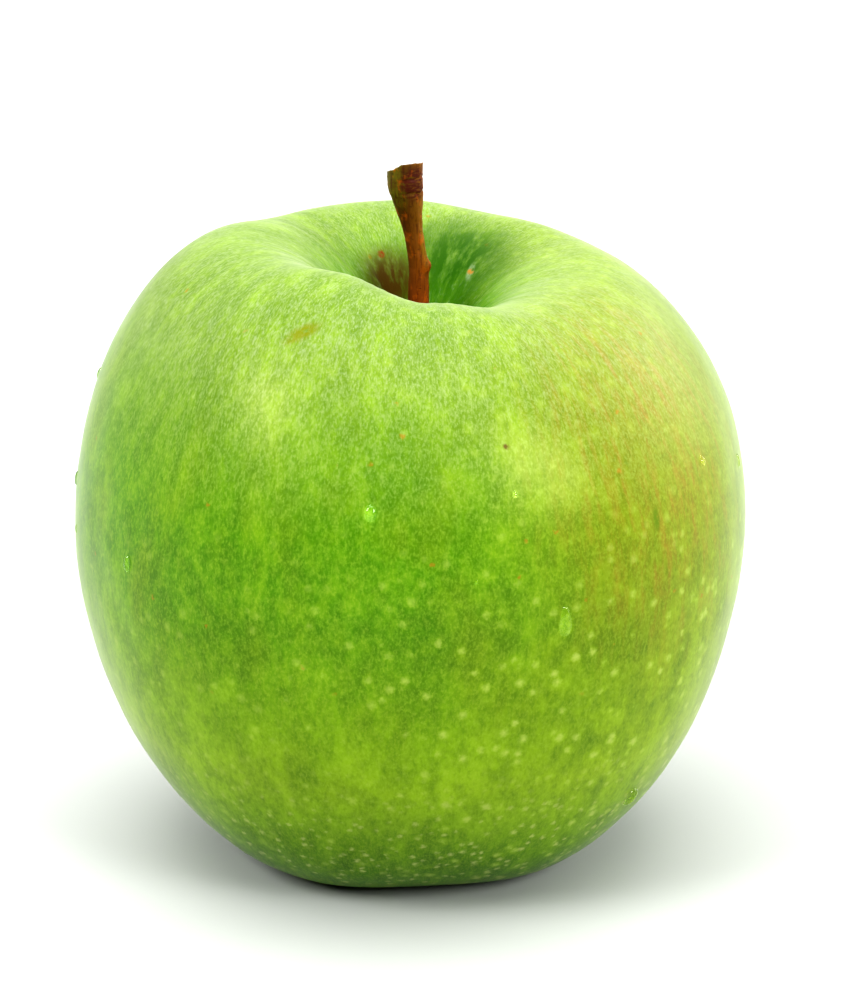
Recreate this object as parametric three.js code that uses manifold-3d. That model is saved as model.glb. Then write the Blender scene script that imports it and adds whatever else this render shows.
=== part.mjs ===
// A green apple, standing on the lobes of its base with its stem on.
// Millimetres, +Z up. The origin is on the surface that it rests on, under the middle of its box.
// Angles run round the core line from +X (right) towards +Y (back), in degrees.

import * as THREE from 'three';
import { mergeVertices } from 'three/addons/utils/BufferGeometryUtils.js';
import Module from 'manifold-3d';

const wasm = await Module();
wasm.setup();

// Driving dimensions of the fruit
const GIRTH_RADIUS = 37.5;
const GIRTH_HEIGHT = 38.2;
const CREST_HEIGHT = 69.6;
const CREST_RADIUS = 18.7;
const CAVITY_DEPTH = 15.5;
const FOOT_RADIUS = 15.7;
const BASIN_DEPTH = 6;
const LEAN_RIGHT = 0.6;
const LEAN_FRONT = 0.9;
const FOOT_FLAT = 0.3;

// How far the meridian's curves carry straight on from the girth, the crest, the foot and the core line
const FOOT_REACH = 11.3;
const LOWER_FLANK_REACH = 19.1;
const UPPER_FLANK_REACH = 16.4;
const SHOULDER_REACH = 9.4;
const CAVITY_REACH = 8.8;
const CAVITY_FLOOR_REACH = 4.8;
const CAVITY_STEEPNESS = 5.1;
const BASIN_REACH = 5;
const BASIN_FLOOR_REACH = 6;

// The five lobes and, after each, the valley on its left: how far each lifts the crest and the foot,
// and how far the flank stands out there
const LOBES = [
  { angle: 29, crest: -2.8, foot: 0, flank: 0 },
  { angle: 96, crest: -0.9, foot: 0, flank: 0 },
  { angle: 170, crest: 0.9, foot: 0, flank: 0.35 },
  { angle: 237, crest: 1.7, foot: 0.1, flank: 0.1 },
  { angle: 315, crest: -3.1, foot: 0.15, flank: -0.1 },
];
const VALLEYS = [
  { crest: -1.9, foot: 0.7 },
  { crest: -0.8, foot: 0.7 },
  { crest: 1.0, foot: 0.5 },
  { crest: -1.4, foot: 0.6 },
  { crest: -3.0, foot: 0.7 },
];
const VALLEY_FLANK = -0.65;

// Driving dimensions of the stem, with heights from its foot in the flesh
const STEM_LENGTH = 27.3;
const STEM_RADIUS = 1.06;
const STEM_FOOT_RADIUS = 1.4;
const STEM_SEAT = 2.3;
const STEM_OFF_CENTRE = 0.4;
const STEM_SLIM_HEIGHT = 18;
const STEM_FLARE = 0.85;
const STEM_FLARE_HEIGHT = 19;
const STEM_LIP = 2.4;
const STEM_BEND = 1.4;
const STEM_CUT_TILT = 10;
const KNOB_HEIGHT = 15.6;
const KNOB_RADIUS = 0.75;
const KNOB_LENGTH = 2.2;
const SEAT_GAP = 0.3;

// Driving dimensions of the calyx, with leans from straight down
const TUBE_RADIUS = 2.4;
const TUBE_SEAT = 2.4;
const SEPAL_LENGTH = 6.2;
const SEPAL_WIDTH = 3.2;
const SEPAL_THICKNESS = 0.7;
const SEPAL_KEEL = 2;
const SEPAL_LEAN_IN = -20;
const SEPAL_LEAN_OUT = 100;
const SEPAL_ROOT_RADIUS = 1.7;
const STAMENS = 9;
const STAMEN_RADIUS = 0.3;
const STAMEN_LENGTH = 3;

// How finely the pieces are faceted
const COLUMNS = 80;
const BASIN_ROWS = 8;
const LOWER_FLANK_ROWS = 15;
const UPPER_FLANK_ROWS = 13;
const CAVITY_ROWS = 12;
const STEM_COLUMNS = 20;
const STEM_ROWS = 24;
const PEG_SIDES = 24;
const KNOB_SIDES = 12;
const SEPAL_ROWS = 8;
const STAMEN_SIDES = 5;
const MERGE_DISTANCE = 1e-5;

const GREEN_SKIN = new THREE.MeshStandardMaterial({ color: 0x7db52a, roughness: 0.35, metalness: 0 });
const STEM_BARK = new THREE.MeshStandardMaterial({ color: 0x7a4a22, roughness: 0.7, metalness: 0 });
const DRY_SEPAL = new THREE.MeshStandardMaterial({ color: 0x6b5a3c, roughness: 0.9, metalness: 0 });

const radians = THREE.MathUtils.degToRad;

function smooth(share) {
  const t = THREE.MathUtils.clamp(share, 0, 1);
  return t * t * (3 - 2 * t);
}

// Runs evenly round the circle through (angle, value) stops, level at each stop
function roundTheCircle(angle, stops) {
  const sorted = [...stops].sort((a, b) => a.angle - b.angle);
  const first = sorted[0];
  const closed = [...sorted, { angle: first.angle + 360, value: first.value }];
  const turned = THREE.MathUtils.euclideanModulo(angle - first.angle, 360) + first.angle;
  const after = Math.max(1, closed.findIndex((stop) => stop.angle > turned));
  const low = closed[after - 1];
  const high = closed[after];
  const share = (turned - low.angle) / (high.angle - low.angle);
  return low.value + (high.value - low.value) * (1 - Math.cos(Math.PI * share)) / 2;
}

function lobeStops(part, valleyValue) {
  const stops = [];
  LOBES.forEach((lobe, i) => {
    const next = i + 1 < LOBES.length ? LOBES[i + 1].angle : LOBES[0].angle + 360;
    stops.push({ angle: lobe.angle, value: lobe[part] });
    stops.push({ angle: (lobe.angle + next) / 2, value: valleyValue(VALLEYS[i]) });
  });
  return stops;
}

const CREST_STOPS = lobeStops('crest', (valley) => valley.crest);
const FOOT_STOPS = lobeStops('foot', (valley) => valley.foot);
const FLANK_STOPS = lobeStops('flank', () => VALLEY_FLANK);

// The mean meridian, from the basin's floor under the core, out round the flank and in to the cavity's floor
function meridian() {
  const at = (radius, height) => new THREE.Vector2(radius, height);
  const cavityFloor = CREST_HEIGHT - CAVITY_DEPTH;
  const core = [at(0, BASIN_DEPTH), at(0, cavityFloor)];
  const foot = at(FOOT_RADIUS, 0);
  const girth = at(GIRTH_RADIUS, GIRTH_HEIGHT);
  const crest = at(CREST_RADIUS, CREST_HEIGHT);
  const basin = new THREE.CubicBezierCurve(
    core[0], at(BASIN_FLOOR_REACH, BASIN_DEPTH), at(FOOT_RADIUS - BASIN_REACH, 0), foot);
  const lowerFlank = new THREE.CubicBezierCurve(
    foot, at(FOOT_RADIUS + FOOT_REACH, 0), at(GIRTH_RADIUS, GIRTH_HEIGHT - LOWER_FLANK_REACH), girth);
  const upperFlank = new THREE.CubicBezierCurve(
    girth, at(GIRTH_RADIUS, GIRTH_HEIGHT + UPPER_FLANK_REACH),
    at(CREST_RADIUS + SHOULDER_REACH, CREST_HEIGHT), crest);
  const cavity = new THREE.CubicBezierCurve(
    crest, at(CREST_RADIUS - CAVITY_REACH, CREST_HEIGHT),
    at(CAVITY_FLOOR_REACH, cavityFloor + CAVITY_STEEPNESS), core[1]);
  return [
    core[0],
    ...basin.getPoints(BASIN_ROWS).slice(1),
    ...lowerFlank.getPoints(LOWER_FLANK_ROWS).slice(1),
    ...upperFlank.getPoints(UPPER_FLANK_ROWS).slice(1),
    ...cavity.getPoints(CAVITY_ROWS).slice(1, -1),
    core[1],
  ];
}

// Gives the turned meridian its lobes and its lean
function grow(x, y, z) {
  const radius = Math.hypot(x, y);
  const turn = Math.atan2(y, x);
  const angle = THREE.MathUtils.radToDeg(turn);
  const upper = z > CREST_HEIGHT / 2;
  const crestShare = radius < CREST_RADIUS
    ? smooth(radius / CREST_RADIUS)
    : smooth((z - GIRTH_HEIGHT) / (CREST_HEIGHT - GIRTH_HEIGHT));
  const footShare = radius < FOOT_RADIUS
    ? smooth(radius / FOOT_RADIUS)
    : smooth((GIRTH_HEIGHT - z) / GIRTH_HEIGHT) ** 2;
  const lift = upper
    ? crestShare * roundTheCircle(angle, CREST_STOPS)
    : footShare * roundTheCircle(angle, FOOT_STOPS);
  const wide = radius * (1 + roundTheCircle(angle, FLANK_STOPS) / GIRTH_RADIUS);
  const leanShare = smooth(z / CREST_HEIGHT);
  return new THREE.Vector3(
    wide * Math.cos(turn) + LEAN_RIGHT * leanShare,
    wide * Math.sin(turn) - LEAN_FRONT * leanShare,
    z + lift,
  );
}

// A closed geometry as a solid to cut and join, with its shared corners merged
function solid(geometry) {
  const bare = geometry.clone();
  bare.deleteAttribute('normal');
  bare.deleteAttribute('uv');
  const merged = mergeVertices(bare, MERGE_DISTANCE);
  const corners = Array.from(merged.index.array);
  const kept = [];
  for (let i = 0; i < corners.length; i += 3) {
    const [a, b, c] = corners.slice(i, i + 3);
    if (a !== b && b !== c && c !== a) kept.push(a, b, c);
  }
  return new wasm.Manifold(new wasm.Mesh({
    numProp: 3,
    vertProperties: new Float32Array(merged.attributes.position.array),
    triVerts: new Uint32Array(kept),
  }));
}

function geometryOf(manifold) {
  const mesh = manifold.getMesh();
  const geometry = new THREE.BufferGeometry();
  geometry.setAttribute('position', new THREE.BufferAttribute(new Float32Array(mesh.vertProperties), 3));
  geometry.setIndex(new THREE.BufferAttribute(new Uint32Array(mesh.triVerts), 1));
  geometry.computeVertexNormals();
  return geometry;
}

function movePoints(geometry, move) {
  const place = geometry.attributes.position;
  const point = new THREE.Vector3();
  for (let i = 0; i < place.count; i += 1) {
    point.fromBufferAttribute(place, i);
    const moved = move(point.x, point.y, point.z);
    place.setXYZ(i, moved.x, moved.y, moved.z);
  }
  return geometry;
}

// A profile of (radius, height) points turned round the Z axis
function turned(points, segments) {
  return new THREE.LatheGeometry(points, segments).rotateX(Math.PI / 2);
}

function peg(radius, low, high, x = 0, y = 0) {
  return solid(new THREE.CylinderGeometry(radius, radius, high - low, PEG_SIDES)
    .rotateX(Math.PI / 2).translate(x, y, (low + high) / 2));
}

const CAVITY_FLOOR = grow(0, 0, CREST_HEIGHT - CAVITY_DEPTH);
const BASIN_FLOOR = grow(0, 0, BASIN_DEPTH);
const STEM_FOOT = new THREE.Vector3(
  CAVITY_FLOOR.x + STEM_OFF_CENTRE, CAVITY_FLOOR.y, CAVITY_FLOOR.z - STEM_SEAT);
const SEPAL_ROOT_HEIGHT = BASIN_FLOOR.z - 2 * SEAT_GAP;

// The fruit: the turned and lobed body, flattened a little where it stands, with a seat for the stem in the
// cavity's floor and one for the calyx tube in the basin's floor
function makeFruit() {
  const body = solid(movePoints(turned(meridian(), COLUMNS), grow));
  const ground = solid(new THREE.BoxGeometry(4 * GIRTH_RADIUS, 4 * GIRTH_RADIUS, GIRTH_RADIUS)
    .translate(0, 0, FOOT_FLAT - GIRTH_RADIUS / 2));
  const stemSeat = peg(STEM_FOOT_RADIUS + SEAT_GAP, STEM_FOOT.z - SEAT_GAP, CAVITY_FLOOR.z + 2 * STEM_SEAT,
    STEM_FOOT.x, STEM_FOOT.y);
  const tubeSeat = peg(TUBE_RADIUS + SEAT_GAP, 0, BASIN_FLOOR.z + TUBE_SEAT + SEAT_GAP);
  return geometryOf(body.subtract(ground).subtract(stemSeat).subtract(tubeSeat));
}

// The stem's thickness: stout where it grew from the flesh, slim in the middle, flared where it was picked
function stemRadius(height) {
  const foot = (STEM_FOOT_RADIUS - STEM_RADIUS) * (1 - smooth(height / STEM_SLIM_HEIGHT));
  const flareLength = STEM_LENGTH - STEM_LIP - STEM_FLARE_HEIGHT;
  const flare = STEM_FLARE * smooth((height - STEM_FLARE_HEIGHT) / flareLength);
  return STEM_RADIUS + foot + flare;
}

function stemProfile() {
  const points = [new THREE.Vector2(0, 0)];
  for (let i = 0; i <= STEM_ROWS; i += 1) {
    const height = STEM_LENGTH * i / STEM_ROWS;
    points.push(new THREE.Vector2(stemRadius(height), height));
  }
  points.push(new THREE.Vector2(0, STEM_LENGTH));
  return points;
}

// Bends the straight stem to the left from its knob up, and stands it in the cavity
function bendStem(x, y, z) {
  const bendShare = smooth((z - KNOB_HEIGHT + STEM_BEND) / (STEM_LENGTH - KNOB_HEIGHT));
  return new THREE.Vector3(x - STEM_BEND * bendShare, y, z).add(STEM_FOOT);
}

// The stem: a turned stalk with a bud knob on its right, cut off aslant at its flared end
function makeStem() {
  const stalk = solid(turned(stemProfile(), STEM_COLUMNS));
  const knob = solid(new THREE.SphereGeometry(1, KNOB_SIDES, KNOB_SIDES / 2).rotateX(Math.PI / 2)
    .scale(KNOB_RADIUS, KNOB_RADIUS, KNOB_LENGTH / 2).translate(STEM_RADIUS * 0.7, 0, KNOB_HEIGHT));
  const cutter = solid(new THREE.BoxGeometry(STEM_LENGTH, STEM_LENGTH, STEM_LENGTH)
    .translate(0, 0, STEM_LENGTH / 2)
    .rotateY(radians(-STEM_CUT_TILT)).rotateX(radians(STEM_CUT_TILT / 2))
    .translate(0, 0, STEM_LENGTH - STEM_FLARE));
  const stem = movePoints(geometryOf(stalk.add(knob).subtract(cutter)), bendStem);
  stem.computeVertexNormals();
  return stem;
}

// A sepal's outline, narrow and pointed, its root on the line x = 0
function sepalOutline() {
  const outline = new THREE.Shape();
  outline.moveTo(0, -SEPAL_WIDTH / 2);
  outline.quadraticCurveTo(SEPAL_LENGTH * 0.55, -SEPAL_WIDTH * 0.55, SEPAL_LENGTH, -SEPAL_WIDTH * 0.05);
  outline.lineTo(SEPAL_LENGTH, SEPAL_WIDTH * 0.05);
  outline.quadraticCurveTo(SEPAL_LENGTH * 0.55, SEPAL_WIDTH * 0.55, 0, SEPAL_WIDTH / 2);
  return outline;
}

// One sepal, curled along an arc from leaning in at its root to lying outwards at its tip
function makeSepal(turn) {
  const flat = new THREE.ExtrudeGeometry(sepalOutline(), {
    depth: SEPAL_THICKNESS, bevelEnabled: false, curveSegments: SEPAL_ROWS,
  });
  const start = radians(SEPAL_LEAN_IN);
  const bend = radians(SEPAL_LEAN_OUT - SEPAL_LEAN_IN) / SEPAL_LENGTH;
  movePoints(flat, (along, across, up) => {
    const lean = start + bend * along;
    const out = (Math.cos(start) - Math.cos(lean)) / bend;
    const down = (Math.sin(lean) - Math.sin(start)) / bend;
    const keel = SEPAL_KEEL * (across / SEPAL_WIDTH) ** 2;
    const lift = up + keel;
    return new THREE.Vector3(
      SEPAL_ROOT_RADIUS + out + lift * Math.cos(lean),
      across,
      SEPAL_ROOT_HEIGHT - down + lift * Math.sin(lean),
    );
  });
  return solid(flat.rotateZ(turn));
}

// One dried stamen, a slim cone that hangs from the rim of the tube
function makeStamen(turn) {
  return solid(new THREE.ConeGeometry(STAMEN_RADIUS, STAMEN_LENGTH, STAMEN_SIDES).rotateX(-Math.PI / 2)
    .translate(TUBE_RADIUS * 0.5, 0, SEPAL_ROOT_HEIGHT - STAMEN_LENGTH / 4).rotateZ(turn));
}

// The calyx: the tube that sits in the basin's floor, five sepals round it and stamens inside them
function makeCalyx() {
  const tube = peg(TUBE_RADIUS, SEPAL_ROOT_HEIGHT - SEPAL_THICKNESS, BASIN_FLOOR.z + TUBE_SEAT);
  const sepals = LOBES.map((lobe) => makeSepal(radians(lobe.angle)));
  const stamens = Array.from({ length: STAMENS }, (_, i) => makeStamen(2 * Math.PI * i / STAMENS));
  return geometryOf([...sepals, ...stamens].reduce((whole, piece) => whole.add(piece), tube));
}

function piece(name, geometry, material) {
  const mesh = new THREE.Mesh(geometry, material);
  mesh.name = name;
  return mesh;
}

const apple = new THREE.Group();
apple.add(
  piece('fruit', makeFruit(), GREEN_SKIN),
  piece('stem', makeStem(), STEM_BARK),
  piece('calyx', makeCalyx(), DRY_SEPAL),
);

// Stands the apple with the middle of its box over the origin
const box = new THREE.Box3().setFromObject(apple);
apple.position.set(-(box.min.x + box.max.x) / 2, -(box.min.y + box.max.y) / 2, -box.min.z);

export default apple;
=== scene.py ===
# %% [markdown]
# # A green apple
# The part is one whole apple: the fruit itself, its stem and the dried calyx underneath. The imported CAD
# model already has them at their true size and place. This script keeps that frame and dresses it: each
# CAD solid is replaced by a finer mesh of the same form, and each gets the finish of the real thing.

# %% Load the frame
import math

import bmesh
import bpy
from mathutils import Matrix, Vector, noise


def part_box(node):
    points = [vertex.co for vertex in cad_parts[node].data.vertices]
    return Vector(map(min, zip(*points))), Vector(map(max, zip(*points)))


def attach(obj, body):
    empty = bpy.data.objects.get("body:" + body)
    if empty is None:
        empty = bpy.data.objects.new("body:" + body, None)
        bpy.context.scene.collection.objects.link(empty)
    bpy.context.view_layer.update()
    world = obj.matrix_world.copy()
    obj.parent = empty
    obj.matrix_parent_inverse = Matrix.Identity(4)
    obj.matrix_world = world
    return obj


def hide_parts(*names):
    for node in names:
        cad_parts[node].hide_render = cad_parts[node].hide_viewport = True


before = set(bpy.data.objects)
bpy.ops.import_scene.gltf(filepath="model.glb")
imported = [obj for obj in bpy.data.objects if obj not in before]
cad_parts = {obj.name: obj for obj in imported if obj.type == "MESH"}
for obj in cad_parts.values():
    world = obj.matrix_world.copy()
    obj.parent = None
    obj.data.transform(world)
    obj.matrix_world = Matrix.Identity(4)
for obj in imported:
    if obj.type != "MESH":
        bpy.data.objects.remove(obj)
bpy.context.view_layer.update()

# %% [markdown]
# ## Camera
# The photo looks down on the apple from about 20 degrees above the table, with the perspective of a lens
# some 600 mm away. The camera is set from those two numbers. A lens length that belongs to them follows
# from how many pixels of the 850 x 1000 picture one millimetre covers at that distance.

# %% Camera
CAMERA_ELEVATION = math.radians(20.1)
CAMERA_DISTANCE = 0.600
CAMERA_TARGET = Vector((0.00167, 0.00024, 0.03936))
FOCAL_PIXELS = 5394
PICTURE_HEIGHT = 1000
SENSOR_SIZE = 36


def place_camera():
    camera = bpy.data.objects.new("camera", bpy.data.cameras.new("camera"))
    away = Vector((0, -math.cos(CAMERA_ELEVATION), math.sin(CAMERA_ELEVATION)))
    camera.location = CAMERA_TARGET + CAMERA_DISTANCE * away
    camera.rotation_euler = (math.pi / 2 - CAMERA_ELEVATION, 0, 0)
    camera.data.sensor_width = SENSOR_SIZE
    camera.data.lens = FOCAL_PIXELS * SENSOR_SIZE / PICTURE_HEIGHT
    camera.data.clip_start = 0.01
    camera.data.clip_end = 20
    bpy.context.collection.objects.link(camera)
    bpy.context.scene.camera = camera
    return camera


camera = place_camera()
print("lens in mm:", round(camera.data.lens, 1))

# %% [markdown]
# ## Helpers for meshes
# Everything round on an apple comes from one move: a profile is spun about the core line. The bmesh
# operator Spin does that. Each point of the profile remembers how far along the profile it lies, in a
# custom attribute, because the streaks of the skin run the same way.

# %% Mesh helpers
MM = 0.001
WELD_DISTANCE = 1e-4


def smooth(share):
    """Eases a share in and out, and keeps it from 0 to 1."""
    t = min(max(share, 0.0), 1.0)
    return t * t * (3 - 2 * t)


def bezier(start, start_handle, end_handle, end, steps):
    """The points of one cubic curve, without its first."""
    points = []
    for i in range(1, steps + 1):
        t = i / steps
        weights = ((1 - t) ** 3, 3 * (1 - t) ** 2 * t, 3 * (1 - t) * t * t, t ** 3)
        corners = (start, start_handle, end_handle, end)
        points.append(tuple(sum(w * c[k] for w, c in zip(weights, corners)) for k in (0, 1)))
    return points


def spin_profile(points, columns):
    """A closed bmesh from a profile of (radius, height) points that starts and ends on the axis."""
    bm = bmesh.new()
    along = bm.verts.layers.float.new("along")
    chain = []
    edges = []
    for radius, height in points:
        vert = bm.verts.new((radius, 0, height))
        if chain:
            vert[along] = chain[-1][along] + (vert.co - chain[-1].co).length
            edges.append(bm.edges.new((chain[-1], vert)))
        chain.append(vert)
    bmesh.ops.spin(
        bm, geom=chain + edges, cent=(0, 0, 0), axis=(0, 0, 1),
        angle=2 * math.pi, steps=columns, use_merge=True,
    )
    bmesh.ops.remove_doubles(bm, verts=bm.verts, dist=WELD_DISTANCE)
    bmesh.ops.recalc_face_normals(bm, faces=bm.faces)
    return bm


def finish_mesh(bm, name, place):
    """Turns a bmesh in millimetres into a smooth object in the frame's metres."""
    bmesh.ops.transform(bm, matrix=Matrix.Scale(MM, 4) @ Matrix.Translation(place), verts=bm.verts)
    for face in bm.faces:
        face.smooth = True
    mesh = bpy.data.meshes.new(name)
    bm.to_mesh(mesh)
    bm.free()
    piece = bpy.data.objects.new(name, mesh)
    bpy.context.collection.objects.link(piece)
    triangles = sum(len(polygon.vertices) - 2 for polygon in mesh.polygons)
    print(name, "has", triangles, "triangles")
    return piece


# %% [markdown]
# ## The fruit's shape
# A real apple isn't round: it grows five lobes, one for each seed chamber. The shoulder is high over a
# lobe and low between two, and here the lobes are uneven, so the rim dips in front and on the right. The
# shape is a meridian of four curves, spun round, and then each point is lifted and pushed by its angle.
# These are the CAD part's own dimensions, in millimetres, so the finer skin lies on the CAD solid.

# %% Fruit dimensions
GIRTH_RADIUS = 37.5
GIRTH_HEIGHT = 38.2
CREST_HEIGHT = 69.6
CREST_RADIUS = 18.7
CAVITY_DEPTH = 15.5
FOOT_RADIUS = 15.7
BASIN_DEPTH = 6
LEAN_RIGHT = 0.6
LEAN_FRONT = 0.9
FOOT_FLAT = 0.3
MERIDIAN_CURVES = (  # the handle at the start, the handle at the end, and the steps, from the basin up
    ((6, 0), (-5, 0), 28),
    ((11.3, 0), (0, -19.1), 64),
    ((0, 16.4), (9.4, 0), 60),
    ((-8.8, 0), (4.8, 5.1), 52),
)

LOBE_ANGLES = (29, 96, 170, 237, 315)
LOBE_CRESTS = (-2.8, -0.9, 0.9, 1.7, -3.1)
LOBE_FEET = (0, 0, 0, 0.1, 0.15)
LOBE_FLANKS = (0, 0, 0.35, 0.1, -0.1)
VALLEY_CRESTS = (-1.9, -0.8, 1.0, -1.4, -3.0)
VALLEY_FEET = (0.7, 0.7, 0.5, 0.6, 0.7)
VALLEY_FLANKS = (-0.65,) * 5


def fruit_meridian():
    """The outline from the basin round the foot, the girth and the crest into the stem cavity."""
    foot, girth, crest = (FOOT_RADIUS, 0), (GIRTH_RADIUS, GIRTH_HEIGHT), (CREST_RADIUS, CREST_HEIGHT)
    stops = ((0, BASIN_DEPTH), foot, girth, crest, (0, CREST_HEIGHT - CAVITY_DEPTH))
    points = [stops[0]]
    for start, end, (leaving, arriving, steps) in zip(stops, stops[1:], MERIDIAN_CURVES):
        start_handle = (start[0] + leaving[0], start[1] + leaving[1])
        end_handle = (end[0] + arriving[0], end[1] + arriving[1])
        points += bezier(start, start_handle, end_handle, end, steps)
    return points


def round_the_circle(angle, at_lobes, at_valleys):
    """Runs evenly round the circle from lobe to valley to lobe, level at each."""
    first = LOBE_ANGLES[0]
    next_lobes = (*LOBE_ANGLES[1:], first + 360)
    stops = []
    for lobe, next_lobe, lobe_value, valley_value in zip(LOBE_ANGLES, next_lobes, at_lobes, at_valleys):
        stops.append((lobe, lobe_value))
        stops.append(((lobe + next_lobe) / 2, valley_value))
    stops.append((first + 360, at_lobes[0]))
    angle = (angle - first) % 360 + first
    for (low, low_value), (high, high_value) in zip(stops, stops[1:]):
        if angle <= high:
            share = (1 - math.cos(math.pi * (angle - low) / (high - low))) / 2
            return low_value + (high_value - low_value) * share
    return at_lobes[0]


def grow(point):
    """Gives a point of the spun meridian the lobes and the lean of the fruit."""
    radius = math.hypot(point.x, point.y)
    turn = math.atan2(point.y, point.x)
    angle = math.degrees(turn)
    if point.z > CREST_HEIGHT / 2:
        inside = radius < CREST_RADIUS
        share = smooth(radius / CREST_RADIUS) if inside else smooth(
            (point.z - GIRTH_HEIGHT) / (CREST_HEIGHT - GIRTH_HEIGHT))
        lift = share * round_the_circle(angle, LOBE_CRESTS, VALLEY_CRESTS)
    else:
        inside = radius < FOOT_RADIUS
        share = smooth(radius / FOOT_RADIUS) if inside else smooth(
            (GIRTH_HEIGHT - point.z) / GIRTH_HEIGHT) ** 2
        lift = share * round_the_circle(angle, LOBE_FEET, VALLEY_FEET)
    wide = radius * (1 + round_the_circle(angle, LOBE_FLANKS, VALLEY_FLANKS) / GIRTH_RADIUS)
    lean = smooth(point.z / CREST_HEIGHT)
    return Vector((
        wide * math.cos(turn) + LEAN_RIGHT * lean,
        wide * math.sin(turn) - LEAN_FRONT * lean,
        point.z + lift,
    ))


# %% [markdown]
# ## The skin's own relief
# A perfectly smooth formula looks like plastic. Real skin has faint swellings a centimetre or two apart,
# which bend the highlights, fine ribs that run down into the stem cavity, and small puckers round the
# calyx, where the skin was gathered in. All three are moves along the surface normal by a noise formula,
# small enough to stay within a few tenths of a millimetre of the CAD solid.

# %% Fruit mesh
FRUIT_COLUMNS = 320
SWELLING = 0.16
SWELLING_SIZE = 13
RIPPLE_SIZE = 4.5
CAVITY_RIB = 0.13
RIB_LENGTH = 14
RIBS_PER_RADIAN = (7, 17)
BASIN_PUCKER = 0.35
FOOT_FADE = 2


def skin_relief(point, turn, radius, along):
    """How far the skin stands out, in millimetres. Ribs and puckers fade on the flank and at the core."""
    relief = SWELLING * noise.noise(point / SWELLING_SIZE) + SWELLING / 3 * noise.noise(point / RIPPLE_SIZE)
    around = Vector((math.cos(turn), math.sin(turn), 0))
    if point.z > CREST_HEIGHT / 2:
        broad, fine = RIBS_PER_RADIAN
        ribs = noise.noise(around * broad + Vector((0, 0, along / RIB_LENGTH))) + noise.noise(around * fine)
        relief += CAVITY_RIB * ribs * smooth(1.25 - radius / CREST_RADIUS) * smooth(radius / 3)
    else:
        puckers = math.cos(5 * (turn - math.radians(LOBE_ANGLES[0]))) + noise.noise(around * 6)
        relief += BASIN_PUCKER * puckers * smooth(1.1 - radius / FOOT_RADIUS) * smooth(radius / 7)
    return relief


def make_fruit():
    bm = spin_profile(fruit_meridian(), FRUIT_COLUMNS)
    along = bm.verts.layers.float["along"]
    grain = bm.verts.layers.float_vector.new("grain")
    spun = {}
    for vert in bm.verts:
        radius, turn = math.hypot(vert.co.x, vert.co.y), math.atan2(vert.co.y, vert.co.x)
        spun[vert] = (turn, radius)
        vert[grain] = (GIRTH_RADIUS * math.cos(turn), GIRTH_RADIUS * math.sin(turn), vert[along])
        vert.co = grow(vert.co)
    bm.normal_update()
    moves = {v: v.normal * skin_relief(v.co, *spun[v], v[along]) for v in bm.verts}
    for vert, move in moves.items():
        vert.co += move * smooth((vert.co.z - FOOT_FLAT) / FOOT_FADE)
        vert.co.z = max(vert.co.z, FOOT_FLAT)
    return bm


fruit_mesh = make_fruit()
fruit_low, fruit_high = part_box("fruit")
raw_low = Vector([min(v.co[k] for v in fruit_mesh.verts) for k in range(3)])
raw_high = Vector([max(v.co[k] for v in fruit_mesh.verts) for k in range(3)])
PLACE = (fruit_low + fruit_high) / 2 / MM - (raw_low + raw_high) / 2
PLACE.z = fruit_low.z / MM - raw_low.z
print("the fruit is moved by", [round(c, 3) for c in PLACE], "mm to stand in the frame")
fruit = finish_mesh(fruit_mesh, "apple_fruit", PLACE)
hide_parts("fruit")
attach(fruit, "root")

# %% [markdown]
# ## The stem
# The stem is a thin woody stalk, a little stouter where it grows out of the flesh and flared where it broke
# from the twig. It is spun like the fruit, from a profile that also closes its two ends, and then bent to
# the left from the bud knob up. Bark ridges, cracks in the flare and the rough break at the top are moves
# by formula, because they are far too shallow for edges of their own.

# %% Stem dimensions
STEM_LENGTH = 27.3
STEM_RADIUS = 1.04
STEM_FOOT_RADIUS = 1.4
STEM_SEAT = 2.3
STEM_OFF_CENTRE = 0.4
STEM_SLIM_HEIGHT = 18
STEM_FLARE = 0.85
STEM_FLARE_HEIGHT = 19
STEM_LIP = 2.4
STEM_BEND = 1.4
STEM_CUT_SLOPE = 0.12
STEM_CUT_DEPTH = 0.45
STEM_NOTCH_DEPTH = 0.45
STEM_HOLLOW = 0.22
CAVITY_FLOOR = grow(Vector((0, 0, CREST_HEIGHT - CAVITY_DEPTH)))
STEM_FOOT = CAVITY_FLOOR + Vector((STEM_OFF_CENTRE, 0, -STEM_SEAT))
STEM_COLUMNS = 72
STEM_ROWS = 170
STEM_END_RINGS = 12


def stem_radius(height):
    foot = (STEM_FOOT_RADIUS - STEM_RADIUS) * (1 - smooth(height / STEM_SLIM_HEIGHT))
    flare_length = STEM_LENGTH - STEM_LIP - STEM_FLARE_HEIGHT
    return STEM_RADIUS + foot + STEM_FLARE * smooth((height - STEM_FLARE_HEIGHT) / flare_length)


def stem_profile():
    heights = [STEM_LENGTH * i / STEM_ROWS for i in range(STEM_ROWS + 1)]
    points = [(0, 0)] + [(stem_radius(height), height) for height in heights]
    end = stem_radius(STEM_LENGTH)
    points += [(end * (1 - i / STEM_END_RINGS), STEM_LENGTH) for i in range(1, STEM_END_RINGS + 1)]
    return points


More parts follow.
